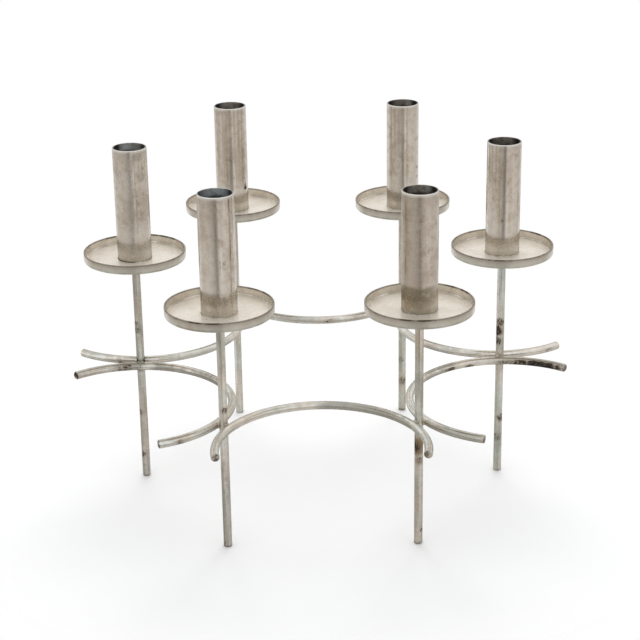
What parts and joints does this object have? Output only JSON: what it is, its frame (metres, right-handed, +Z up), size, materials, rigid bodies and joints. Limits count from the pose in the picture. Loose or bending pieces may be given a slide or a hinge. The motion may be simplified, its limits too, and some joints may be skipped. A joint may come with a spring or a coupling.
{
  "type": "candle holder",
  "caption": "Free-standing ring-shaped table candle holder: upright rods joined by inward-bowed arcs, each carrying a round drip pan and a straight candle tube.",
  "frame": {"origin": "middle of the ring, on the table that the legs stand on", "axes": "+Z up along the candles, +X to the right through the right-hand light, +Y away from the front arc"},
  "size_m": [0.367, 0.3388, 0.262],
  "materials": {
    "plated_rod": "worn nickel plate on steel rod, satin, with dark spots where it has flaked",
    "plated_pan": "worn silver plate on brass sheet, satin",
    "plated_tube": "worn silver plate on brass tube, drawn lengthways, satin",
    "dull_brass": "dull, tarnished",
    "braze_filler": "uneven, plated over with the rods"
  },
  "bodies": {
    "root": {"arc_right_back": "plated_rod", "arc_back": "plated_rod", "arc_left_back": "plated_rod", "arc_left_front": "plated_rod", "arc_front": "plated_rod", "arc_right_front": "plated_rod", "leg_right": "plated_rod", "drip_pan_right": "plated_pan", "candle_tube_right": "plated_tube", "candle_stop_right": "dull_brass", "braze_right": "braze_filler", "leg_back_right": "plated_rod", "drip_pan_back_right": "plated_pan", "candle_tube_back_right": "plated_tube", "candle_stop_back_right": "dull_brass", "braze_back_right": "braze_filler", "leg_back_left": "plated_rod", "drip_pan_back_left": "plated_pan", "candle_tube_back_left": "plated_tube", "candle_stop_back_left": "dull_brass", "braze_back_left": "braze_filler", "leg_left": "plated_rod", "drip_pan_left": "plated_pan", "candle_tube_left": "plated_tube", "candle_stop_left": "dull_brass", "braze_left": "braze_filler", "leg_front_left": "plated_rod", "drip_pan_front_left": "plated_pan", "candle_tube_front_left": "plated_tube", "candle_stop_front_left": "dull_brass", "braze_front_left": "braze_filler", "leg_front_right": "plated_rod", "drip_pan_front_right": "plated_pan", "candle_tube_front_right": "plated_tube", "candle_stop_front_right": "dull_brass", "braze_front_right": "braze_filler"}
  },
  "joints": []
}
